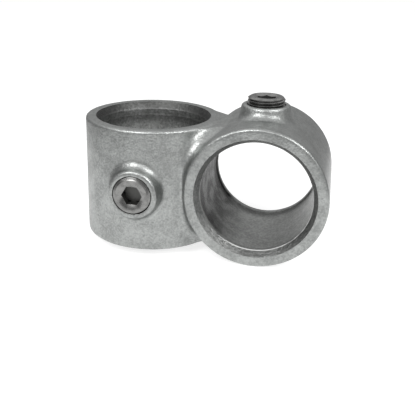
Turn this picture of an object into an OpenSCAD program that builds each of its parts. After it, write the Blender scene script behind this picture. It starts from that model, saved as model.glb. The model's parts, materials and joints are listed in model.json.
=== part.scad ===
// Crossover tube clamp
// One casting joins two round tubes that cross at a right angle.
// Each socket is held to its tube by a set screw with a hexagon socket.

/* [Sockets] */
// Outside diameter of the tubes
tube_d = 48.3; // [47:0.1:50]
// Gap all round between a tube and its bore
bore_gap = 0.45; // [0.2:0.05:0.5]
// Length of each socket along its tube
socket_len = 55; // [50:0.5:64]
// Wall of a socket outside its bore
socket_wall = 6.7; // [5.6:0.1:8]
// Least wall between the two bores
web = 2.5; // [2.4:0.1:8]
// Round on the outer edge of each rim
rim_round = 1.3; // [0.6:0.1:2]

/* [Mouths] */
// Width of the lead-in cone at each mouth, across the rim
lead_w = 2.1; // [1:0.1:2.6]
// Depth of the lead-in cone along the tube
lead_len = 3.5; // [2:0.1:5]
// Length of the land that grips the tube
land_len = 2.4; // [1.5:0.1:5]
// Depth of the relief between the two lands
relief = 0.6; // [0.3:0.1:1]
// Length of the slope from a land to the relief
relief_slope = 1; // [0.5:0.1:3]

/* [Bosses] */
// Height of a boss above the crest of its socket
boss_h = 4.7; // [4:0.1:8]
// Wall of a boss outside the screw thread
boss_wall = 2.8; // [2:0.1:4]
// Round on the outer edge of a boss
boss_round = 1.6; // [0.4:0.1:2]
// Draft of a boss's side, in degrees
boss_draft = 12; // [0:1:16]
// Radius of the fillet at the foot of a boss
boss_fillet = 4; // [2:0.1:5]
// Width of the countersink at the mouth of a tapped hole
hole_sink = 0.5; // [0.3:0.1:1.2]

/* [Junction] */
// Radius of the fillet between the two barrels, where it is widest
junction_fillet = 5; // [3:0.1:6]
// Radius of the same fillet beside the level socket's rims, where it is narrowest
junction_end_fillet = 1.2; // [0.8:0.1:2]
// Step from each rim down to the junction fillet
junction_step = 0.6; // [0.3:0.1:1.2]

/* [Set screws] */
// Outside diameter of the screw thread
thread_d = 16.66; // [15:0.01:18]
// Pitch of the screw thread
thread_pitch = 1.337; // [1:0.001:1.5]
// Gap all round between a screw and its hole
thread_gap = 0.07; // [0.05:0.01:0.1]
// Length of a set screw
screw_len = 10.8; // [9:0.1:11]
// Width of the chamfer on the head end
head_chamfer_w = 1.2; // [0.8:0.1:2]
// Length of the chamfer on the head end
head_chamfer_len = 0.8; // [0.5:0.1:2]
// Size of the chamfer on the point
point_chamfer = 1.2; // [0.8:0.1:2]
// Diameter of the cup in the point
cup_d = 11; // [8:0.1:12]
// Depth of the cup in the point
cup_depth = 1.6; // [0.8:0.1:2]
// Hexagon socket across its flats
hex_af = 8; // [6:0.1:9]
// Depth of the hexagon socket
hex_depth = 5.6; // [4.5:0.1:6]
// Depth of the drill point below the hexagon
drill_depth = 1.4; // [0.5:0.1:1.6]
// Width of the countersink round the hexagon
hex_sink_w = 1.65; // [0.8:0.05:1.7]
// Depth of the countersink round the hexagon
hex_sink_depth = 0.95; // [0.5:0.05:1.5]
// Turns by which the upright screw stands out of its boss
upright_turns_out = 0.5; // [-2:0.5:4]
// Turns by which the level screw stands out of its boss
level_turns_out = 2.5; // [-2:0.5:4]
// Angle of the hexagon in the level screw
level_hex_angle = 36; // [0:1:60]

/* [Hidden] */
$fn = 96;

// Finish colours
galvanised = "#9aa09d";
screw_steel = "#8b8c89";

// A full turn, and half the angle between two corners of a hexagon
full_turn = 360;
hex_half_angle = 30;

// Radii and places that follow from the driving sizes
bore_r = tube_d / 2 + bore_gap;
mouth_r = bore_r + lead_w;
relief_r = bore_r + relief;
socket_r = bore_r + socket_wall;
half_len = socket_len / 2;
axis_gap = 2 * bore_r + web;
lip_len = lead_len + land_len;
boss_face = socket_r + boss_h;
thread_r = thread_d / 2;
hole_r = thread_r + thread_gap;
boss_r = thread_r + boss_wall;
boss_edge_r = boss_r - boss_round;
boss_edge_z = boss_face - boss_round;
// Radius at which a boss's drafted side would reach the axis of its socket
boss_foot_r = boss_edge_r + boss_edge_z * tan(boss_draft) + boss_round / cos(boss_draft);
hex_corner_r = hex_af / 2 / cos(hex_half_angle);

// How far a cutting shape runs past the face that it cuts
past = 1;
// How far a fillet's ends lie under the walls, and how deep its root is buried
fillet_bury = 0.06;
fillet_root = 2;
// Steps along a fillet's arc and round its path
fillet_steps = 8;
boss_ring_steps = 64;
junction_ring_steps = 80;
// How late along its path the junction fillet starts to narrow, as an even power
junction_taper = 8;

// Half of a barrel's section, with its two outer corners rounded
module barrel_profile() {
    flat_r = socket_r - rim_round;
    flat_len = half_len - rim_round;
    translate([0, -flat_len])
        square([socket_r, 2 * flat_len]);
    translate([0, -half_len])
        square([flat_r, socket_len]);
    for (side = [-1, 1])
        translate([flat_r, side * flat_len])
            circle(r = rim_round);
}

// Half of a boss's section, with a drafted side and a rounded edge
module boss_profile() {
    lean = [cos(boss_draft), sin(boss_draft)];
    polygon([
        [0, 0], [boss_foot_r, 0], [boss_edge_r, boss_edge_z] + boss_round * lean,
        [boss_edge_r, boss_face], [0, boss_face]
    ]);
    translate([boss_edge_r, boss_edge_z])
        circle(r = boss_round);
}

// Points of one fillet section: the arc between two walls, then the buried root.
// c is the centre of the arc, and a and b point from it to the two walls.
function fillet_section(c, a, b, r) =
    let (
        turn = acos(a * b),
        arc_r = r + fillet_bury,
        root_r = r + fillet_root
    )
    concat(
        [for (i = [0 : fillet_steps])
            let (s = i / fillet_steps)
            c + arc_r * (sin((1 - s) * turn) * a + sin(s * turn) * b) / sin(turn)],
        [c + root_r * b, c + root_r * (a + b) / (1 + a * b), c + root_r * a]
    );

// Closed ring through equal sections
module ring(sections) {
    count = len(sections);
    size = len(sections[0]);
    polyhedron(
        points = [for (section = sections) each section],
        faces = [for (i = [0 : count - 1], j = [0 : size - 1], half = [0, 1])
            let (
                here = i * size,
                next = (i + 1) % count * size,
                k = (j + 1) % size
            )
            half == 0 ? [here + j, next + k, here + k] : [here + j, next + j, next + k]]
    );
}

// Fillet round the foot of a boss that stands up along Z on a barrel along Y.
// The centre of its arc lies one fillet radius from the drafted side and from the barrel.
module boss_fillet_ring() {
    slope = tan(boss_draft);
    reach = boss_foot_r + boss_fillet / cos(boss_draft);
    lift = socket_r + boss_fillet;
    ring([for (i = [0 : boss_ring_steps - 1])
        let (
            t = i * full_turn / boss_ring_steps,
            cc = cos(t) * cos(t),
            k = 1 + cc * slope * slope,
            m = cc * reach * slope,
            h = (m + sqrt(m * m - k * (cc * reach * reach - lift * lift))) / k,
            out = reach - h * slope,
            u = out * cos(t),
            to_boss = -[cos(boss_draft) * cos(t), cos(boss_draft) * sin(t), sin(boss_draft)]
        )
        fillet_section([u, out * sin(t), h], to_boss, [-u, 0, -h] / lift, boss_fillet)]);
}

// Fillet round the line where the two barrels meet, kept within all the rims.
// Its radius shrinks towards the level socket's rims, so that these stand clear of the upright barrel.
module junction_fillet_ring() {
    middle = axis_gap / 2;
    kept = socket_len - 2 * junction_step;
    intersection() {
        ring([for (i = [0 : junction_ring_steps - 1])
            let (
                t = i * full_turn / junction_ring_steps,
                share = 1 - pow(sin(t), junction_taper),
                r = junction_end_fillet + (junction_fillet - junction_end_fillet) * share,
                lift = socket_r + r,
                x = middle + (lift - middle) * cos(2 * t),
                y = sign(sin(t)) * sqrt(max(0, lift * lift - x * x)),
                z = sign(cos(t)) * sqrt(max(0, lift * lift - (axis_gap - x) * (axis_gap - x)))
            )
            fillet_section([x, y, z], [-x, -y, 0] / lift, [axis_gap - x, 0, -z] / lift, r)]);
        translate([middle, 0, 0])
            cube([2 * axis_gap, kept, kept], center = true);
    }
}

// One socket before its bore is cut: barrel along Y, boss up along Z
module socket_solid() {
    rotate([90, 0, 0])
        rotate_extrude()
            barrel_profile();
    rotate_extrude()
        boss_profile();
    boss_fillet_ring();
}

// What one socket's bore and tapped hole take away
module socket_cut() {
    lead_slope = lead_w / lead_len;
    out_r = mouth_r + past * lead_slope;
    out_y = half_len + past;
    land_out = half_len - lead_len;
    land_in = half_len - lip_len;
    flat_y = land_in - relief_slope;
    rotate([90, 0, 0])
        rotate_extrude()
            polygon([
                [0, -out_y], [out_r, -out_y], [bore_r, -land_out], [bore_r, -land_in],
                [relief_r, -flat_y], [relief_r, flat_y],
                [bore_r, land_in], [bore_r, land_out], [out_r, out_y], [0, out_y]
            ]);
    cylinder(r = hole_r, h = boss_face + past);
    translate([0, 0, boss_face - hole_sink])
        cylinder(r1 = hole_r, r2 = hole_r + hole_sink + past, h = hole_sink + past);
}

module at_upright() {
    rotate([90, 0, 0])
        children();
}

module at_level() {
    translate([axis_gap, 0, 0])
        children();
}

module clamp_body() {
    color(galvanised)
        difference() {
            union() {
                at_upright()
                    socket_solid();
                at_level()
                    socket_solid();
                junction_fillet_ring();
            }
            at_upright()
                socket_cut();
            at_level()
                socket_cut();
        }
}

// Set screw with its head face at height zero and its point below
module set_screw(hex_angle) {
    hex_sink_r = hex_af / 2 + hex_sink_w;
    sink_slope = hex_sink_w / hex_sink_depth;
    cup_r = cup_d / 2;
    color(screw_steel)
        difference() {
            rotate_extrude()
                polygon([
                    [0, -screw_len], [thread_r - point_chamfer, -screw_len],
                    [thread_r, -screw_len + point_chamfer], [thread_r, -head_chamfer_len],
                    [thread_r - head_chamfer_w, 0], [0, 0]
                ]);
            rotate([0, 0, hex_angle])
                translate([0, 0, -hex_depth])
                    cylinder(r = hex_corner_r, h = hex_depth + past, $fn = 6);
            translate([0, 0, -hex_sink_depth])
                cylinder(r1 = hex_af / 2, r2 = hex_sink_r + past * sink_slope, h = hex_sink_depth + past);
            translate([0, 0, -hex_depth - drill_depth])
                cylinder(r1 = 0, r2 = hex_af / 2, h = drill_depth);
            translate([0, 0, -screw_len - past])
                cylinder(r1 = cup_r + past * cup_r / cup_depth, r2 = 0, h = cup_depth + past);
        }
}

module upright_set_screw() {
    at_upright()
        translate([0, 0, boss_face + upright_turns_out * thread_pitch])
            set_screw(0);
}

module level_set_screw() {
    at_level()
        translate([0, 0, boss_face + level_turns_out * thread_pitch])
            set_screw(level_hex_angle);
}

clamp_body();
upright_set_screw();
level_set_screw();
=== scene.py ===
"""Crossover tube clamp: a galvanised casting and its two socket set screws.

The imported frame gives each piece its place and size. The casting is the frame's own solid, plugged,
given a cast skin, then cored and tapped again. The screws are turned, threaded and broached from bar.
"""

import json
import logging
import math
from dataclasses import dataclass
from enum import Enum

import bpy
from mathutils import Matrix, Vector

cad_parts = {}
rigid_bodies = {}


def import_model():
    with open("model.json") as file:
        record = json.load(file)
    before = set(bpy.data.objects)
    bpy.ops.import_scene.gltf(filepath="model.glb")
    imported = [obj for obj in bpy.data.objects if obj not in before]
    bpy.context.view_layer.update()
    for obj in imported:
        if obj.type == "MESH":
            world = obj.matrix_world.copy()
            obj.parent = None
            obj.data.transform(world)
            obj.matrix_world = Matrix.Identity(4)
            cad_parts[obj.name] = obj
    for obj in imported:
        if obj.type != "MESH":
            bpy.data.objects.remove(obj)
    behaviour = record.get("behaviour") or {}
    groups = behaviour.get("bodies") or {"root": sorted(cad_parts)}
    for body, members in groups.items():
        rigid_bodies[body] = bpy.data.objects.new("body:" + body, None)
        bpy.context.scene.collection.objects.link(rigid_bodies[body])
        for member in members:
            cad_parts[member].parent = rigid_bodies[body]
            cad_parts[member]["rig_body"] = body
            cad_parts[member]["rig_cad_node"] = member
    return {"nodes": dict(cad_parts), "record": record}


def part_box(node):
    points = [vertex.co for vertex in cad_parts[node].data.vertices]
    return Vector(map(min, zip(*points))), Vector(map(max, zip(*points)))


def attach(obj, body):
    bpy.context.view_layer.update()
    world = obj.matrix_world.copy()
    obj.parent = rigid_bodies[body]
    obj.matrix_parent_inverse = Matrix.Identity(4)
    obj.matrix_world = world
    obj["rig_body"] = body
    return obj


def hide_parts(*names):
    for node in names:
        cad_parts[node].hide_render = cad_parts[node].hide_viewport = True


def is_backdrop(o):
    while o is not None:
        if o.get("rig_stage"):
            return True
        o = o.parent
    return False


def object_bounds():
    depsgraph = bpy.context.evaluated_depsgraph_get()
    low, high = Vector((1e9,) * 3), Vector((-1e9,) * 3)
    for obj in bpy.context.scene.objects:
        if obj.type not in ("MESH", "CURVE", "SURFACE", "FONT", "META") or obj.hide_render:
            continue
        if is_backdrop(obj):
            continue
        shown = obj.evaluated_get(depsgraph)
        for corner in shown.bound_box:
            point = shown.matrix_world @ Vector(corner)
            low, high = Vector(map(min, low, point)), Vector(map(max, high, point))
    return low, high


MM = 0.001
FULL_TURN = 2 * math.pi
QUARTER_TURN = math.pi / 2

Colour = tuple[float, float, float, float]
Outline = list[tuple[float, float]]
Span = tuple[float, float]

WHITE: Colour = (1, 1, 1, 1)

log = logging.getLogger("clamp")


class Cut(Enum):
    """How a tool shape acts on a piece."""

    TAKE_AWAY = "DIFFERENCE"
    KEEP_INSIDE = "INTERSECT"


class Along(Enum):
    """Which part of a place runs along a socket, by its index."""

    LEVEL = 1
    UPRIGHT = 2


def eased(outline: Outline, radius: float, parts: int = 3) -> Outline:
    """Rounds the corners of an open outline.

    Args:
        outline: Points as (radius, height), in metres.
        radius: How far from each corner its round starts.
        parts: Edges in each round.

    Returns:
        The outline with a short curve in place of each corner between its ends.
    """
    points = [Vector(point) for point in outline]
    smooth = [outline[0]]
    for before, here, after in zip(points, points[1:], points[2:]):
        back, on = (before - here).normalized(), (after - here).normalized()
        for i in range(parts + 1):
            share = i / parts
            spot = here + radius * ((1 - share) ** 2 * back + share ** 2 * on)
            smooth.append((spot.x, spot.y))
    smooth.append(outline[-1])
    return smooth


class Bench:
    """Hand tools: each one works on the piece that it is given and on nothing else."""

    MERGE = 1e-7

    @staticmethod
    def hold(piece: bpy.types.Object) -> None:
        """Selects one piece alone and makes it active.

        Args:
            piece: The piece to work on next.
        """
        bpy.ops.object.select_all(action="DESELECT")
        piece.select_set(True)
        bpy.context.view_layer.objects.active = piece

    @staticmethod
    def modify(piece: bpy.types.Object, kind: str, **settings: object) -> None:
        """Adds a modifier, sets it and applies it.

        Args:
            piece: The piece to change.
            kind: Blender's name of the modifier's type.
            settings: The modifier's own settings by name.
        """
        Bench.hold(piece)
        modifier = piece.modifiers.new(kind.lower(), kind)
        for name, value in settings.items():
            setattr(modifier, name, value)
        bpy.ops.object.modifier_apply(modifier=modifier.name)

    @staticmethod
    def chain(name: str, outline: Outline) -> bpy.types.Object:
        """Draws an open outline in the XZ plane, one extruded vertex after another.

        Args:
            name: The new object's name.
            outline: Points as (radius, height), in metres.

        Returns:
            The outline as a mesh of edges.
        """
        points = [Vector((radius, 0, height)) for radius, height in outline]
        bpy.ops.object.select_all(action="DESELECT")
        bpy.ops.mesh.primitive_plane_add(size=MM)
        piece = bpy.context.object
        piece.name = name
        bpy.ops.object.mode_set(mode="EDIT")
        bpy.ops.mesh.select_all(action="SELECT")
        bpy.ops.mesh.merge(type="CENTER")
        bpy.ops.transform.translate(value=points[0])
        for here, there in zip(points, points[1:]):
            bpy.ops.mesh.extrude_vertices_move(TRANSFORM_OT_translate={"value": there - here})
        bpy.ops.object.mode_set(mode="OBJECT")
        return piece

    @staticmethod
    def turn(
        name: str, outline: Outline, steps: int, rise: float = 0.0, turns: int = 1,
    ) -> bpy.types.Object:
        """Turns an outline round the Z axis into a closed solid.

        Args:
            name: The new object's name.
            outline: Points as (radius, height), in metres.
            steps: Sides in one turn.
            rise: Height gained in one turn, for a thread.
            turns: Turns made.

        Returns:
            The turned solid, with its normals outwards.
        """
        piece = Bench.chain(name, outline)
        Bench.modify(
            piece, "SCREW", axis="Z", angle=FULL_TURN, steps=steps, render_steps=steps, screw_offset=rise,
            iterations=turns, use_merge_vertices=True, merge_threshold=Bench.MERGE, use_smooth_shade=False,
        )
        bpy.ops.object.mode_set(mode="EDIT")
        bpy.ops.mesh.select_all(action="SELECT")
        bpy.ops.mesh.remove_doubles(threshold=Bench.MERGE)
        bpy.ops.mesh.fill_holes(sides=0)
        bpy.ops.object.mode_set(mode="OBJECT")
        Bench.face_out(piece)
        return piece

    @staticmethod
    def face_out(piece: bpy.types.Object) -> None:
        """Turns all faces of a closed piece outwards.

        Args:
            piece: The piece, without holes in its surface.
        """
        Bench.hold(piece)
        bpy.ops.object.mode_set(mode="EDIT")
        bpy.ops.mesh.select_all(action="SELECT")
        bpy.ops.mesh.normals_make_consistent(inside=False)
        bpy.ops.object.mode_set(mode="OBJECT")
        volume = sum(face.area * face.normal.dot(face.center) for face in piece.data.polygons)
        if volume < 0:
            bpy.ops.object.mode_set(mode="EDIT")
            bpy.ops.mesh.flip_normals()
            bpy.ops.object.mode_set(mode="OBJECT")

    @staticmethod
    def place(piece: bpy.types.Object, place: Matrix) -> None:
        """Moves a piece and leaves its place in its mesh.

        Args:
            piece: The piece to move.
            place: Where it goes.
        """
        Bench.hold(piece)
        piece.matrix_world = place
        bpy.ops.object.transform_apply(location=True, rotation=True, scale=True)

    @staticmethod
    def cut(piece: bpy.types.Object, tool: bpy.types.Object, how: Cut) -> None:
        """Cuts a piece with a tool shape, which is used up."""
        Bench.modify(
            piece, "BOOLEAN", operation=how.value, object=tool, solver="EXACT", material_mode="TRANSFER",
        )
        bpy.data.objects.remove(tool)

    @staticmethod
    def fuse(pieces: list[bpy.types.Object]) -> bpy.types.Object:
        """Joins several objects into the first one.

        Args:
            pieces: The objects, of which all but the first are used up.

        Returns:
            The first object, with all the meshes in it.
        """
        Bench.hold(pieces[0])
        for other in pieces[1:]:
            other.select_set(True)
        bpy.ops.object.join()
        return pieces[0]

    @staticmethod
    def smooth(piece: bpy.types.Object, angle: float) -> None:
        """Shades a piece smooth up to an angle between its faces."""
        Bench.hold(piece)
        bpy.ops.object.shade_smooth_by_angle(angle=angle)


class Value:
    """A socket that varies over a surface: sums and products of it add Math nodes."""

    def __init__(self, graph: "Graph", socket: bpy.types.NodeSocket) -> None:
        """Wraps one socket of a graph."""
        self.graph = graph
        self.socket = socket

    def _math(self, operation: str, *others: "Value | float") -> "Value":
        """Adds one Math node on this socket and others."""
        sockets = dict(enumerate((self, *others)))
        return self.graph.add("ShaderNodeMath", {"operation": operation}, sockets)

    def _swapped(self, operation: str, other: float) -> "Value":
        """Adds one Math node with a plain number first."""
        return self.graph.add("ShaderNodeMath", {"operation": operation}, {0: other, 1: self})

    def __add__(self, other: "Value | float") -> "Value":
        """Sum."""
        return self._math("ADD", other)

    __radd__ = __add__

    def __sub__(self, other: "Value | float") -> "Value":
        """Difference."""
        return self._math("SUBTRACT", other)

    def __rsub__(self, other: float) -> "Value":
        """Difference with a number first."""
        return self._swapped("SUBTRACT", other)

    def __mul__(self, other: "Value | float") -> "Value":
        """Product."""
        return self._math("MULTIPLY", other)

    __rmul__ = __mul__

    def __pow__(self, other: "Value | float") -> "Value":
        """Power."""
        return self._math("POWER", other)

    def most(self, other: "Value | float") -> "Value":
        """The greater of two."""
        return self._math("MAXIMUM", other)

    def ramp(self, low: float, high: float) -> "Value":
        """A smooth step.

        Args:
            low: Where the step is 0. It may be greater than high.
            high: Where the step is 1.

        Returns:
            The step, from 0 to 1.
        """
        settings = {"interpolation_type": "SMOOTHSTEP"}
        sockets = {"Value": self, "From Min": low, "From Max": high}
        return self.graph.add("ShaderNodeMapRange", settings, sockets)


class Graph:
    """The node tree of a material or of the world."""

    # A Mix node repeats its sockets' names for each type of data, so its colours go by index.
    MIX_SHARE, MIX_FIRST, MIX_SECOND, MIX_RESULT = 0, 6, 7, 2

    def __init__(self, tree: bpy.types.NodeTree) -> None:
        """Empties a tree and takes it over."""
        tree.nodes.clear()
        self.tree = tree

    def add(self, kind: str, settings: dict, sockets: dict, out: "str | int" = 0) -> Value:
        """Adds one node.

        Args:
            kind: Blender's name of the node's type.
            settings: The node's own settings, which are set first.
            sockets: A number, a colour or a Value for each input, by name or index.
            out: The output that is returned, by name or index.

        Returns:
            The chosen output, or the first input of a node that ends the tree.
        """
        node = self.tree.nodes.new(kind)
        for name, value in settings.items():
            setattr(node, name, value)
        for name, value in sockets.items():
            if isinstance(value, Value):
                self.tree.links.new(value.socket, node.inputs[name])
            else:
                node.inputs[name].default_value = value
        return Value(self, node.outputs[out]) if len(node.outputs) else Value(self, node.inputs[0])

    def spot(self) -> Value:
        """The place on the piece, in the frame's metres."""
        return self.add("ShaderNodeTexCoord", {}, {}, "Object")

    def parts(self, vector: Value) -> tuple[Value, Value, Value]:
        """A vector's three parts."""
        first = self.add("ShaderNodeSeparateXYZ", {}, {0: vector})
        return tuple(Value(self, output) for output in first.socket.node.outputs)

    def noise(self, spot: Value, grain: float, detail: float, roughness: float = 0.5) -> Value:
        """Soft noise whose lumps are about one grain across, in metres."""
        sockets = {"Vector": spot, "Scale": 1 / grain, "Detail": detail, "Roughness": roughness}
        return self.add("ShaderNodeTexNoise", {}, sockets)

    def blend(self, share: "Value | float", first: "Value | Colour", second: "Value | Colour") -> Value:
        """A colour between two others."""
        sockets = {self.MIX_SHARE: share, self.MIX_FIRST: first, self.MIX_SECOND: second}
        return self.add("ShaderNodeMix", {"data_type": "RGBA"}, sockets, self.MIX_RESULT)

    def bump(self, height: Value, depth: float, strength: float) -> Value:
        """A normal tilted by a height from 0 to 1 that stands for a depth in metres."""
        sockets = {"Height": height, "Distance": depth, "Strength": strength}
        return self.add("ShaderNodeBump", {}, sockets)

    def metal(
        self, colour: Value, roughness: Value, normal: Value, metallic: "Value | float" = 1.0,
    ) -> None:
        """Ends the tree in a metal surface.

        Args:
            colour: The metal's colour.
            roughness: From 0 for a mirror to 1 for a matt surface.
            normal: The surface's direction.
            metallic: 1 for plain metal, less where it looks pale from every side.
        """
        sockets = {"Base Color": colour, "Roughness": roughness, "Normal": normal, "Metallic": metallic}
        surface = self.add("ShaderNodeBsdfPrincipled", {}, sockets)
        self.add("ShaderNodeOutputMaterial", {}, {"Surface": surface})


def new_graph(name: str) -> tuple[bpy.types.Material, Graph]:
    """Makes an empty node material.

    Args:
        name: The material's name.

    Returns:
        The material and its graph.
    """
    material = bpy.data.materials.new(name)
    material.use_nodes = True
    return material, Graph(material.node_tree)


@dataclass(frozen=True)
class Sockets:
    """The two round sockets, as the frame's mounts state them."""

    bore_r: float
    grip_len: float
    gap: float
    face: float

    @classmethod
    def from_record(cls, record: dict, face: float) -> "Sockets":
        """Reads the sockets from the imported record.

        Args:
            record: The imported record.
            face: Height of a boss's face from its socket's axis.

        Returns:
            The sockets' sizes.
        """
        mounts = {mount["name"]: mount for mount in record["mounts"]}
        level = mounts["level_socket"]
        size = level["dims"]
        return cls(size["r_mm"] * MM, size["length_mm"] * MM, level["pos_m"][0], face)

    def upright(self) -> Matrix:
        """Turns a piece from +Z onto the upright socket's boss, which faces -Y."""
        return Matrix.Rotation(QUARTER_TURN, 4, "X")

    def level(self) -> Matrix:
        """Moves a piece onto the level socket's boss, which faces +Z."""
        return Matrix.Translation((self.gap, 0, 0))


@dataclass(frozen=True)
class GalvanisedSkin:
    """Hot-dip zinc on cast iron: cool grey, cloudy and pebbled."""

    name: str = "galvanised_skin"
    dull: Colour = (0.235, 0.242, 0.237, 1)
    bright: Colour = (0.395, 0.407, 0.399, 1)
    tones: Span = (0.34, 0.67)
    cloud: float = 9 * MM
    cloud_share: float = 0.34
    mottle: float = 1.8 * MM
    mottle_share: float = 0.28
    mottle_grit: float = 0.6
    pebble: float = 0.8 * MM
    pebble_share: float = 0.38
    pebble_lift: float = 0.7
    pebble_depth: float = 0.24 * MM
    bump_strength: float = 0.9
    roughness: float = 0.38
    bright_gloss: float = 0.1
    pebble_dull: float = 0.08

    def material(self) -> bpy.types.Material:
        """Builds the finish.

        Returns:
            The material of the casting's skin.
        """
        material, graph = new_graph(self.name)
        spot = graph.spot()
        cloud = graph.noise(spot, self.cloud, detail=3)
        mottle = graph.noise(spot, self.mottle, detail=3, roughness=self.mottle_grit)
        pebble = graph.noise(spot, self.pebble, detail=2)
        mixed = cloud * self.cloud_share + mottle * self.mottle_share + pebble * self.pebble_share
        tone = mixed.ramp(*self.tones)
        colour = graph.blend(tone, self.dull, self.bright)
        roughness = self.roughness - tone * self.bright_gloss + pebble * self.pebble_dull
        height = pebble * self.pebble_lift + mottle * (1 - self.pebble_lift)
        graph.metal(colour, roughness, graph.bump(height, self.pebble_depth, self.bump_strength))
        return material


@dataclass(frozen=True)
class CoredSkin:
    """Zinc inside a socket, with painted shade in its mouths, behind a land and beside the web, and a pale
    band at its lands' edges that is partly wear and partly a painted highlight.

    The spans below, from lead_in on, are distances past a land's outer edge, below zero further in.
    """

    name: str
    along: Along
    land_edge: float
    web_x: float
    clear_x: float
    dull: Colour
    bright: Colour
    wear_and_highlight: float
    lead_shade: float
    tones: Span = (0.36, 0.66)
    # Painted shade: the colour that darkens the mouths, the band behind a land and the side by the web.
    painted_shade: Colour = (0.03, 0.03, 0.029, 1)
    painted_shade_cover: float = 0.9
    # Pale edge colour: partly wear, partly a painted highlight.
    worn: Colour = (0.75, 0.76, 0.75, 1)
    worn_highlight_w: float = 0.48 * MM
    patch: float = 7 * MM
    patch_share: float = 0.35
    pebble: float = 1.2 * MM
    pebble_grit: float = 0.65
    pebble_depth: float = 0.3 * MM
    bump_strength: float = 0.9
    lead_in: Span = (-3 * MM, -2 * MM)
    lead_in_share: float = 0.6
    lead_out: Span = (-1 * MM, 1 * MM)
    land_shadow_in: Span = (-9 * MM, -4 * MM)
    land_shadow_out: Span = (-1.5 * MM, -3 * MM)
    far_land_shadow: float = 0.75
    web_shade_out: Span = (0, -2 * MM)
    web_shade_least: float = 0.75
    web_shade_by_land: float = 0.5
    web_shade_patchy: float = 0.4
    web_shade_patches: Span = (0.6, 0.4)
    rubbed_highlight_patches: Span = (0.3, 0.5)
    roughness: float = 0.5
    pebble_gloss: float = 0.1
    worn_gloss: float = 0.15

    def material(self) -> bpy.types.Material:
        """Builds the finish.

        Returns:
            The material of one socket's inside.
        """
        material, graph = new_graph(self.name)
        spot = graph.spot()
        place = graph.parts(spot)
        run = place[self.along.value]
        side = place[0].ramp(self.clear_x, self.web_x)
        patch = graph.noise(spot, self.patch, detail=3)
        pebble = graph.noise(spot, self.pebble, detail=3, roughness=self.pebble_grit)
        mixed = patch * self.patch_share + pebble * (1 - self.patch_share)
        zinc = graph.blend(mixed.ramp(*self.tones), self.dull, self.bright)
        reach = run * run - self.land_edge ** 2
        # Painted shade: the mouths, the band behind a land and the side by the web are darkened.
        shade_mask = self._painted_shade_mask(run, reach, side, patch)
        # A pale, less metallic band at a land's outer edge: partly wear and partly a painted highlight.
        rubbed_highlight = patch.ramp(*self.rubbed_highlight_patches) * (1 - side) * self.wear_and_highlight
        edge = (reach * reach).ramp(self._reach_at(self.worn_highlight_w) ** 2, 0) * rubbed_highlight
        shaded_zinc = graph.blend(shade_mask * self.painted_shade_cover, zinc, self.painted_shade)
        colour = graph.blend(edge, shaded_zinc, self.worn)
        roughness = self.roughness - pebble * self.pebble_gloss - edge * self.worn_gloss
        normal = graph.bump(pebble, self.pebble_depth, self.bump_strength)
        graph.metal(colour, roughness, normal, 1 - edge)
        return material

    def _painted_shade_mask(self, run: Value, reach: Value, side: Value, patch: Value) -> Value:
        """Where shade is painted: in the mouths, behind one of the lands and beside the web.

        Args:
            run: Place along the socket, from its middle.
            reach: That place squared, less the square of the land's outer edge.
            side: 1 beside the web and 0 away from it.
            patch: The noise that breaks up the painted shade beside the web.

        Returns:
            How strong the painted shade is.
        """
        inner = self._step(reach, self.lead_in) * self.lead_in_share
        outer = self._step(reach, self.lead_out) * (1 - self.lead_in_share)
        lead = (inner + outer) * self.lead_shade
        land_shadow = self._step(reach, self.land_shadow_in) * self._step(reach, self.land_shadow_out)
        far = land_shadow * run.ramp(0, self.land_edge) * self.far_land_shadow
        patchy = patch.ramp(*self.web_shade_patches) * self.web_shade_patchy
        spread = self.web_shade_least + land_shadow * self.web_shade_by_land + patchy
        web_shade = side * self._step(reach, self.web_shade_out) * spread
        return web_shade.most(far).most(lead)

    def _step(self, reach: Value, span: Span) -> Value:
        """A smooth step over a span of distances past a land's outer edge."""
        return reach.ramp(*(self._reach_at(distance) for distance in span))

    def _reach_at(self, distance: float) -> float:
        """The reach at a short distance past a land's outer edge."""
        return 2 * self.land_edge * distance


@dataclass(frozen=True)
class TappedThread:
    """Bare iron where the tap has cut: oiled, a little shiny and near black, which is partly the iron's own
    tone and partly painted shade.
    """

    name: str = "tapped_thread"
    # Near black: partly bare iron, partly painted shade in the gap round each screw.
    dark: Colour = (0.02, 0.02, 0.019, 1)
    light: Colour = (0.05, 0.05, 0.048, 1)
    tones: Span = (0.35, 0.7)
    streak: float = 0.8 * MM
    streak_depth: float = 0.02 * MM
    bump_strength: float = 0.4
    roughness: float = 0.5
    streak_gloss: float = 0.2

    def material(self) -> bpy.types.Material:
        """Builds the finish.

        Returns:
            The material of the tapped holes.
        """
        material, graph = new_graph(self.name)
        streak = graph.noise(graph.spot(), self.streak, detail=3)
        colour = graph.blend(streak.ramp(*self.tones), self.dark, self.light)
        roughness = self.roughness - streak * self.streak_gloss
        graph.metal(colour, roughness, graph.bump(streak, self.streak_depth, self.bump_strength))
        return material


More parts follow.
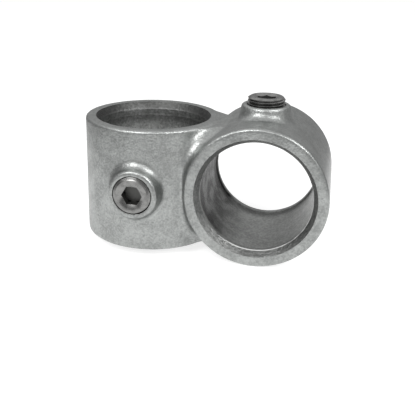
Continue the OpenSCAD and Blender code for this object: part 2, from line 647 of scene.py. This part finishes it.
@dataclass(frozen=True)
class TurnedSteel:
    """Plated steel with fine turning marks round its axis, with painted shade in its socket and its thread.
    """

    place: Matrix
    face: float
    root_r: float
    socket_r: float
    bright: Colour = (0.24, 0.24, 0.235, 1)
    worn: Colour = (0.17, 0.17, 0.166, 1)
    tones: Span = (0.35, 0.65)
    # Painted shade in the socket and in the thread's roots.
    painted_shade: Colour = (0.07, 0.07, 0.067, 1)
    painted_shade_cover: float = 0.85
    painted_shade_depths: Span = (0.95 * MM, 1.6 * MM)
    root_w: float = 0.6 * MM
    socket_w: float = 0.3 * MM
    mark: float = 0.22 * MM
    mark_depth: float = 0.012 * MM
    bump_strength: float = 0.5
    patch: float = 2.5 * MM
    roughness: float = 0.18
    patch_dull: float = 0.1
    mark_dull: float = 0.08
    painted_shade_dull: float = 0.2

    def material(self, name: str) -> bpy.types.Material:
        """Builds the finish for one screw.

        Args:
            name: The material's name.

        Returns:
            The material, with its pattern centred on the screw's axis.
        """
        material, graph = new_graph(name)
        centre, turn, _ = self.place.decompose()
        settings = {"vector_type": "TEXTURE"}
        sockets = {"Vector": graph.spot(), "Location": centre, "Rotation": turn.to_euler()}
        spot = graph.add("ShaderNodeMapping", settings, sockets)
        x, y, z = graph.parts(spot)
        radius = (x * x + y * y) ** 0.5
        rings = graph.add("ShaderNodeCombineXYZ", {}, {0: radius, 1: z})
        marks = graph.noise(rings, self.mark, detail=2)
        patch = graph.noise(spot, self.patch, detail=3)
        # Painted shade: the thread's roots and the socket's walls are darkened from about a millimetre below
        # the face.
        flank = radius.ramp(self.root_r + self.root_w, self.root_r)
        low = z.ramp(*(self.face - depth for depth in self.painted_shade_depths))
        well = radius.ramp(self.socket_r, self.socket_r - self.socket_w)
        dark = low * flank.most(well)
        steel = graph.blend(patch.ramp(*self.tones), self.worn, self.bright)
        colour = graph.blend(dark * self.painted_shade_cover, steel, self.painted_shade)
        roughness = self.roughness + patch * self.patch_dull + marks * self.mark_dull + dark * self.painted_shade_dull
        graph.metal(colour, roughness, graph.bump(marks, self.mark_depth, self.bump_strength))
        return material


@dataclass(frozen=True)
class ThreadForm:
    """A pipe thread with rounded crests and roots."""

    major_r: float
    pitch: float = 1.337 * MM
    depth: float = 0.856 * MM
    fullness: float = 0.62
    samples: int = 12
    steps: int = 96

    @property
    def root_r(self) -> float:
        """Radius of the thread's root."""
        return self.major_r - self.depth

    def outline(self, low: float, growth: float) -> Outline:
        """One pitch of the thread, from root to root.

        Args:
            low: Height of the first root.
            growth: How far the thread stands outside its own size, for a tap.

        Returns:
            The outline of one pitch.
        """
        points = []
        for i in range(self.samples + 1):
            share = i / self.samples
            crest = 0.5 - self.fullness * math.cos(FULL_TURN * share)
            drop = self.depth * (1 - min(max(crest, 0), 1))
            points.append((self.major_r + growth - drop, low + share * self.pitch))
        return points

    def rod(self, name: str, face: float, below: int, above: int, growth: float = 0.0) -> bpy.types.Object:
        """A threaded rod along Z.

        Args:
            name: The new object's name.
            face: Height that the turns are counted from.
            below: Turns below that height.
            above: Turns above it.
            growth: How far the thread stands outside its own size, for a tap.

        Returns:
            The rod as a closed solid.
        """
        outline = self.outline(face - below * self.pitch, growth)
        return Bench.turn(name, outline, self.steps, self.pitch, below + above)


@dataclass
class SetScrew:
    """A socket set screw with a chamfered head, a hexagon socket and a cup point."""

    node: str
    body: str
    place: Matrix
    face: float
    thread: ThreadForm
    thread_base: float
    hex_angle: float
    length: float = 10.8 * MM
    head_chamfer_w: float = 1.2 * MM
    head_chamfer_len: float = 0.8 * MM
    point_chamfer: float = 1.2 * MM
    cup_r: float = 5.5 * MM
    cup_depth: float = 1.6 * MM
    hex_af: float = 8 * MM
    hex_depth: float = 5.6 * MM
    # How far past the hexagon's corners the socket's painted shade reaches.
    hex_shade_w: float = 0.1 * MM
    drill_depth: float = 1.4 * MM
    hex_sink_w: float = 1.65 * MM
    hex_sink_depth: float = 0.95 * MM
    spare_turns: int = 2
    past: float = 1 * MM
    steps: int = 96
    shade_angle: float = math.radians(32)

    @property
    def hex_corner_r(self) -> float:
        """Radius of the hexagon socket at its corners."""
        return self.hex_af / math.sqrt(3)

    def build(self) -> bpy.types.Object:
        """Makes the screw and puts it on its body.

        Returns:
            The finished screw.
        """
        turns = math.ceil(self.length / self.thread.pitch) + self.spare_turns
        piece = self.thread.rod(f"{self.node}_piece", self.thread_base, turns, turns)
        Bench.cut(piece, self._blank(), Cut.KEEP_INSIDE)
        for tool in (self._hexagon(), self._countersink(), self._drill(), self._cup()):
            Bench.cut(piece, tool, Cut.TAKE_AWAY)
        Bench.place(piece, self.place)
        Bench.smooth(piece, self.shade_angle)
        self._dress(piece)
        return piece

    def _blank(self) -> bpy.types.Object:
        """The bar that the thread is trimmed to.

        Returns:
            The bar, with its two chamfers run out past the crests.
        """
        r = self.thread.major_r
        top, low = self.face, self.face - self.length
        head_slope = self.head_chamfer_len / self.head_chamfer_w
        return Bench.turn("blank", [
            (0, low),
            (r - self.point_chamfer, low),
            (r + self.past, low + self.point_chamfer + self.past),
            (r + self.past, top - self.head_chamfer_len - self.past * head_slope),
            (r - self.head_chamfer_w, top),
            (0, top),
        ], self.steps)

    def _hexagon(self) -> bpy.types.Object:
        """The broach for the hexagon socket.

        Returns:
            A hexagonal bar that stands out past the screw's face.
        """
        height = self.hex_depth + self.past
        middle = self.face - self.hex_depth + height / 2
        bpy.ops.object.select_all(action="DESELECT")
        bpy.ops.mesh.primitive_cylinder_add(
            vertices=6, radius=self.hex_corner_r, depth=height,
            location=(0, 0, middle), rotation=(0, 0, self.hex_angle + QUARTER_TURN),
        )
        return bpy.context.object

    def _countersink(self) -> bpy.types.Object:
        """The tool for the cone round the mouth of the hexagon socket.

        Returns:
            A cone that stands out past the screw's face.
        """
        r = self.hex_af / 2
        slope = self.hex_sink_w / self.hex_sink_depth
        low = self.face - self.hex_sink_depth
        return Bench.turn("countersink", [
            (0, low - r / slope),
            (r + self.hex_sink_w + self.past * slope, self.face + self.past),
            (0, self.face + self.past),
        ], self.steps)

    def _drill(self) -> bpy.types.Object:
        """The drill whose point lies below the hexagon.

        Returns:
            The drill's end.
        """
        r = self.hex_af / 2
        floor = self.face - self.hex_depth
        return Bench.turn("drill", [
            (0, floor - self.drill_depth),
            (r, floor),
            (r, floor + self.past),
            (0, floor + self.past),
        ], self.steps)

    def _cup(self) -> bpy.types.Object:
        """The tool for the cup in the point.

        Returns:
            A cone that stands out past the screw's point.
        """
        low = self.face - self.length
        spread = self.cup_r * self.past / self.cup_depth
        return Bench.turn("cup", [
            (0, low - self.past),
            (self.cup_r + spread, low - self.past),
            (0, low + self.cup_depth),
        ], self.steps)

    def _dress(self, piece: bpy.types.Object) -> None:
        """Gives the screw its steel and its place in the frame's table.

        Args:
            piece: The finished screw.
        """
        finish = TurnedSteel(self.place, self.face, self.thread.root_r, self.hex_corner_r + self.hex_shade_w)
        piece.data.materials.clear()
        piece.data.materials.append(finish.material(f"{self.node}_steel"))
        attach(piece, self.body)
        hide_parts(self.node)


@dataclass(frozen=True)
class Swell:
    """One scale of unevenness in the cast skin."""

    name: str
    size: float
    height: float
    depth: int = 2
    outmost: float = 0.78

    def press(self, piece: bpy.types.Object) -> None:
        """Presses this unevenness into a piece.

        Args:
            piece: The piece, with a mesh that is fine enough to take it.
        """
        texture = bpy.data.textures.new(self.name, "CLOUDS")
        texture.noise_basis = "IMPROVED_PERLIN"
        texture.noise_scale = self.size
        texture.noise_depth = self.depth
        Bench.modify(
            piece, "DISPLACE", texture=texture, texture_coords="LOCAL", strength=self.height,
            mid_level=self.outmost,
        )


@dataclass(frozen=True)
class BoreForm:
    """The inside of a socket: a lead-in cone and a land at each end, and a relief between them."""

    bore_r: float
    grip_len: float
    lead_w: float = 2.1 * MM
    lead_len: float = 3.5 * MM
    land_len: float = 2.4 * MM
    relief: float = 0.6 * MM
    relief_slope: float = 1 * MM
    ease: float = 0.3 * MM
    stride: float = 1.2 * MM
    past: float = 1.5 * MM
    steps: int = 180
    swells: tuple[Swell, ...] = (
        Swell("core_sag", 12 * MM, 0.16 * MM),
        Swell("core_skin", 4 * MM, 0.12 * MM),
    )

    @property
    def land_edge(self) -> float:
        """Distance of a land's outer edge from the socket's middle."""
        return self.grip_len / 2

    @property
    def half_len(self) -> float:
        """Half of the socket's length."""
        return self.land_edge + self.lead_len

    @property
    def mouth_r(self) -> float:
        """Radius of the mouth in the rim's face."""
        return self.bore_r + self.lead_w

    def tool(self, skin: bpy.types.Material) -> bpy.types.Object:
        """The core that leaves the bore, lying along Y.

        Args:
            skin: The finish that the core leaves behind.

        Returns:
            The core as a closed solid.
        """
        slope = self.land_edge - self.land_len
        flat = slope - self.relief_slope
        relief_r = self.bore_r + self.relief
        upper = eased([
            (relief_r, flat - self.stride),
            (relief_r, flat),
            (self.bore_r, slope),
            (self.bore_r, self.land_edge),
            (self.mouth_r, self.half_len),
            (self.mouth_r + self.past, self.half_len + self.past),
        ], self.ease)
        strides = int(2 * flat / self.stride) - 2
        reach = 2 * (flat - 2 * self.stride)
        middle = [(relief_r, (i / strides - 0.5) * reach) for i in range(strides + 1)]
        lower = [(radius, -height) for radius, height in reversed(upper)]
        top = self.half_len + self.past
        core = Bench.turn("core", [(0, -top), *lower, *middle, *upper, (0, top)], self.steps)
        core.data.materials.append(skin)
        for swell in self.swells:
            swell.press(core)
        Bench.place(core, Matrix.Rotation(QUARTER_TURN, 4, "X"))
        return core

    def plug(self) -> bpy.types.Object:
        """Metal that fills the bore, lying along Y.

        Returns:
            A bar from rim to rim.
        """
        r = self.mouth_r + self.past
        plug = Bench.turn("bore_plug", [
            (0, -self.half_len), (r, -self.half_len), (r, self.half_len), (0, self.half_len),
        ], self.steps)
        Bench.place(plug, Matrix.Rotation(QUARTER_TURN, 4, "X"))
        return plug


@dataclass
class Casting:
    """The clamp's casting: two crossed barrels with bosses, cored, zinc-dipped, then tapped."""

    sockets: Sockets
    thread: ThreadForm
    node: str = "clamp_body"
    body: str = "casting"
    hole_sink: float = 0.5 * MM
    tap_gap: float = 0.1 * MM
    plug_wall: float = 1.2 * MM
    plug_inset: float = 0.3 * MM
    weld: float = 0.001 * MM
    voxel: float = 0.42 * MM
    smooth_share: float = 0.5
    smooth_passes: int = 2
    kept: float = 0.34
    spare_turns: int = 3
    past: float = 1 * MM
    steps: int = 96
    shade_angle: float = math.radians(35)
    swells: tuple[Swell, ...] = (
        Swell("sag", 14 * MM, 0.16 * MM),
        Swell("cast_skin", 4.5 * MM, 0.12 * MM),
        Swell("pebbles", 1.9 * MM, 0.07 * MM, 1),
    )

    def build(self, solid: bpy.types.Object) -> bpy.types.Object:
        """Makes the casting and puts it on its body.

        Args:
            solid: The frame's own solid of the casting.

        Returns:
            The finished casting.
        """
        bore = BoreForm(self.sockets.bore_r, self.sockets.grip_len)
        skin = GalvanisedSkin().material()
        # The tapped holes and their countersinks take a near-black finish: bare iron and painted shade.
        bare_and_shaded = TappedThread().material()
        places = (self.sockets.upright(), self.sockets.level())
        insides = self._insides(bore)
        piece = self._rough(solid, bore, places)
        piece.data.materials.clear()
        piece.data.materials.append(skin)
        for swell in self.swells:
            swell.press(piece)
        Bench.modify(piece, "DECIMATE", ratio=self.kept)
        for place, inside in zip(places, insides):
            for tool in (bore.tool(inside), self._tap(bare_and_shaded), self._countersink(bare_and_shaded)):
                Bench.place(tool, place)
                Bench.cut(piece, tool, Cut.TAKE_AWAY)
        Bench.smooth(piece, self.shade_angle)
        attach(piece, self.body)
        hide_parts(self.node)
        return piece

    def _insides(self, bore: BoreForm) -> tuple[bpy.types.Material, bpy.types.Material]:
        """Builds the finishes inside the sockets.

        Args:
            bore: The form of both sockets.

        Returns:
            The materials of the upright and the level socket.
        """
        r, gap = self.sockets.bore_r, self.sockets.gap
        # The upright socket has no painted shade beside the web, so its shaded side lies outside the bore.
        upright = CoredSkin(
            "upright_bore_zinc", Along.UPRIGHT, bore.land_edge, web_x=3 * r, clear_x=2 * r,
            dull=(0.28, 0.286, 0.28, 1), bright=(0.58, 0.59, 0.58, 1), wear_and_highlight=0, lead_shade=0.98,
        )
        level = CoredSkin(
            "level_bore_zinc", Along.LEVEL, bore.land_edge, web_x=gap - r, clear_x=gap - r / 4,
            dull=(0.29, 0.296, 0.29, 1), bright=(0.46, 0.468, 0.46, 1), wear_and_highlight=0.85, lead_shade=0.4,
        )
        return upright.material(), level.material()

    def _rough(
        self, solid: bpy.types.Object, bore: BoreForm, places: tuple[Matrix, Matrix],
    ) -> bpy.types.Object:
        """The casting's outside in one even skin, with its bores and holes still filled.

        Args:
            solid: The frame's own solid of the casting.
            bore: The form of both sockets.
            places: Where the upright and the level socket lie.

        Returns:
            A new piece, with no finish yet.
        """
        Bench.hold(solid)
        bpy.ops.object.duplicate()
        piece = bpy.context.object
        piece.name = f"{self.node}_piece"
        piece.parent = None
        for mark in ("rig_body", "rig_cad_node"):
            del piece[mark]
        bpy.ops.object.mode_set(mode="EDIT")
        bpy.ops.mesh.select_all(action="SELECT")
        bpy.ops.mesh.remove_doubles(threshold=self.weld)
        bpy.ops.object.mode_set(mode="OBJECT")
        plugs = []
        for place in places:
            for plug in (bore.plug(), self._hole_plug()):
                Bench.place(plug, place)
                plugs.append(plug)
        piece = Bench.fuse([piece, *plugs])
        Bench.modify(piece, "REMESH", mode="VOXEL", voxel_size=self.voxel)
        Bench.modify(piece, "SMOOTH", factor=self.smooth_share, iterations=self.smooth_passes)
        return piece

    def _hole_plug(self) -> bpy.types.Object:
        """Metal that fills a boss's hole.

        Returns:
            A bar from the socket's axis to just below the boss's face.
        """
        r = self.thread.major_r + self.plug_wall
        top = self.sockets.face - self.plug_inset
        return Bench.turn("hole_plug", [(0, 0), (r, 0), (r, top), (0, top)], self.steps)

    def _tap(self, bare_and_shaded: bpy.types.Material) -> bpy.types.Object:
        """The tap that cuts a boss's thread, in step with its screw.

        Args:
            bare_and_shaded: The finish that the tap leaves behind.

        Returns:
            The tap, which runs out past the wall at both ends.
        """
        wall = self.sockets.face - self.sockets.bore_r
        turns = math.ceil(wall / self.thread.pitch) + self.spare_turns
        tap = self.thread.rod("tap", self.sockets.face, turns, self.spare_turns, self.tap_gap)
        tap.data.materials.append(bare_and_shaded)
        return tap

    def _countersink(self, bare_and_shaded: bpy.types.Material) -> bpy.types.Object:
        """The tool for the cone at the mouth of a tapped hole.

        Args:
            bare_and_shaded: The finish that the tool leaves behind.

        Returns:
            A cone that stands out past the boss's face.
        """
        r = self.thread.major_r + self.tap_gap
        top = self.sockets.face + self.past
        sink = Bench.turn("countersink", [
            (0, self.sockets.face - self.hole_sink - r),
            (r + self.hole_sink + self.past, top),
            (0, top),
        ], self.steps)
        sink.data.materials.append(bare_and_shaded)
        return sink


@dataclass(frozen=True)
class PhotoCamera:
    """The photograph's point of view."""

    aim: Vector
    azimuth: float = math.radians(12.3)
    elevation: float = math.radians(19.67)
    roll: float = math.radians(-1.14)
    distance: float = 304.78 * MM
    aside: float = 9.33 * MM
    above: float = 2.47 * MM
    lens_mm: float = 56.25
    shift_x: float = 0.0494
    shift_y: float = -0.0663
    clip_share: float = 0.01

    def build(self) -> None:
        """Makes the scene's camera."""
        turn, tilt = self.azimuth, self.elevation
        right = Vector((math.cos(turn), math.sin(turn), 0))
        back = Vector((math.sin(turn) * math.cos(tilt), -math.cos(turn) * math.cos(tilt), math.sin(tilt)))
        up = back.cross(right)
        side = right * math.cos(self.roll) - up * math.sin(self.roll)
        top = right * math.sin(self.roll) + up * math.cos(self.roll)
        place = Matrix((side, top, back)).transposed().to_4x4()
        place.translation = self.aim - side * self.aside - top * self.above + back * self.distance
        data = bpy.data.cameras.new("photo_camera")
        data.lens = self.lens_mm
        data.shift_x = self.shift_x
        data.shift_y = self.shift_y
        data.clip_start = self.distance * self.clip_share
        camera = bpy.data.objects.new("photo_camera", data)
        camera.matrix_world = place
        bpy.context.scene.collection.objects.link(camera)
        bpy.context.scene.camera = camera


@dataclass(frozen=True)
class Softbox:
    """One soft lamp over the table."""

    name: str
    place: Vector
    watts: float
    width: float = 0.34
    depth: float = 0.34

    def build(self, aim: Vector) -> None:
        """Hangs the lamp so that it faces the object.

        Args:
            aim: The middle of the object.
        """
        data = bpy.data.lights.new(self.name, "AREA")
        data.shape = "RECTANGLE"
        data.size = self.width
        data.size_y = self.depth
        data.energy = self.watts
        lamp = bpy.data.objects.new(self.name, data)
        lamp.location = aim + self.place
        lamp.rotation_mode = "QUATERNION"
        lamp.rotation_quaternion = (-self.place).to_track_quat("-Z", "Y")
        lamp.visible_camera = False
        bpy.context.scene.collection.objects.link(lamp)


@dataclass(frozen=True)
class Screen:
    """A low grey screen round the table, which shows only where the metal reflects it."""

    radius: float = 0.24
    height: float = 0.2
    shade: float = 0.4
    sides: int = 64

    def build(self, aim: Vector, floor_z: float) -> None:
        """Stands the screen on the table.

        Args:
            aim: The middle of the object.
            floor_z: Height of the table.
        """
        bpy.ops.object.select_all(action="DESELECT")
        bpy.ops.mesh.primitive_cylinder_add(
            vertices=self.sides, radius=self.radius, depth=self.height, end_fill_type="NOTHING",
            location=(aim.x, aim.y, floor_z + self.height / 2),
        )
        screen = bpy.context.object
        screen.name = "screen"
        Bench.place(screen, screen.matrix_world.copy())
        material, graph = new_graph("screen_grey")
        glow = graph.add("ShaderNodeEmission", {}, {"Color": WHITE, "Strength": self.shade})
        graph.add("ShaderNodeOutputMaterial", {}, {"Surface": glow})
        screen.data.materials.append(material)
        for ray in ("camera", "diffuse", "shadow", "transmission"):
            setattr(screen, f"visible_{ray}", False)
        screen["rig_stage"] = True


@dataclass(frozen=True)
class Studio:
    """A white table under soft lamps."""

    aim: Vector
    floor_z: float
    table: float = 6.0
    floor_shade: float = 0.5
    surround: float = 0.55
    screen: Screen = Screen()
    lamps: tuple[Softbox, ...] = (
        Softbox("left", Vector((-0.221, -0.42, 0.399)), watts=2.3),
        Softbox("right", Vector((0.428, -0.274, 0.356)), watts=2.5),
    )

    def build(self) -> None:
        """Sets the table, the surroundings and the lamps."""
        self._floor()
        self._surround()
        self.screen.build(self.aim, self.floor_z)
        for lamp in self.lamps:
            lamp.build(self.aim)
        bpy.context.scene.view_settings.view_transform = "Standard"

    def _seen(self, graph: Graph) -> Value:
        """Tells where the background is looked at from where it only lights.

        Args:
            graph: The graph of the table or of the world.

        Returns:
            1 where it is seen, straight, in a reflection or through glass, and 0 elsewhere.
        """
        seen = graph.add("ShaderNodeLightPath", {}, {}, "Is Camera Ray")
        outputs = seen.socket.node.outputs
        for name in ("Is Glossy Ray", "Is Transmission Ray"):
            seen = seen.most(Value(graph, outputs[name]))
        return seen

    def _floor(self) -> None:
        """Lays a wide pale table that keeps the object's shadow."""
        bpy.ops.object.select_all(action="DESELECT")
        bpy.ops.mesh.primitive_plane_add(size=self.table, location=(self.aim.x, self.aim.y, self.floor_z))
        floor = bpy.context.object
        floor.name = "table"
        material, graph = new_graph("table_white")
        shade = (self.floor_shade,) * 3 + (1,)
        lack = self._seen(graph) * (1 - self.floor_shade * self.surround)
        paint = graph.add("ShaderNodeBsdfDiffuse", {}, {"Color": shade})
        glow = graph.add("ShaderNodeEmission", {}, {"Color": WHITE, "Strength": lack})
        both = graph.add("ShaderNodeAddShader", {}, {0: paint, 1: glow})
        graph.add("ShaderNodeOutputMaterial", {}, {"Surface": both})
        floor.data.materials.append(material)
        floor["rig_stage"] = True

    def _surround(self) -> None:
        """Makes the world white where it is seen, and a plain level of light elsewhere."""
        world = bpy.data.worlds.new("surround")
        world.use_nodes = True
        graph = Graph(world.node_tree)
        strength = self._seen(graph) * (1 - self.surround) + self.surround
        light = graph.add("ShaderNodeBackground", {}, {"Color": WHITE, "Strength": strength})
        graph.add("ShaderNodeOutputWorld", {}, {"Surface": light})
        bpy.context.scene.world = world


def triangles(piece: bpy.types.Object) -> int:
    """Counts the triangles of a piece's mesh."""
    piece.data.calc_loop_triangles()
    return len(piece.data.loop_triangles)


def main() -> None:
    """Builds the clamp, its studio and its camera."""
    logging.basicConfig(level=logging.INFO, format="%(message)s")
    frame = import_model()
    cad_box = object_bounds()
    low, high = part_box("upright_set_screw")
    _, level_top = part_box("level_set_screw")
    sockets = Sockets.from_record(frame["record"], -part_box("clamp_body")[0].y)
    thread = ThreadForm((high.x - low.x) / 2)
    aim = Vector((sockets.gap / 2, 0, 0))
    Studio(aim, cad_box[0].z).build()
    PhotoCamera(aim).build()
    casting = Casting(sockets, thread)
    upright_screw = SetScrew(
        "upright_set_screw", "upright_screw", sockets.upright(), face=-low.y, thread=thread,
        thread_base=sockets.face, hex_angle=0,
    )
    level_screw = SetScrew(
        "level_set_screw", "level_screw", sockets.level(), face=level_top.z, thread=thread,
        thread_base=sockets.face, hex_angle=math.radians(36),
    )
    pieces = [casting.build(frame["nodes"]["clamp_body"]), upright_screw.build(), level_screw.build()]
    for piece in pieces:
        log.info("%s: %d triangles", piece.name, triangles(piece))


if __name__ == "__main__":
    main()
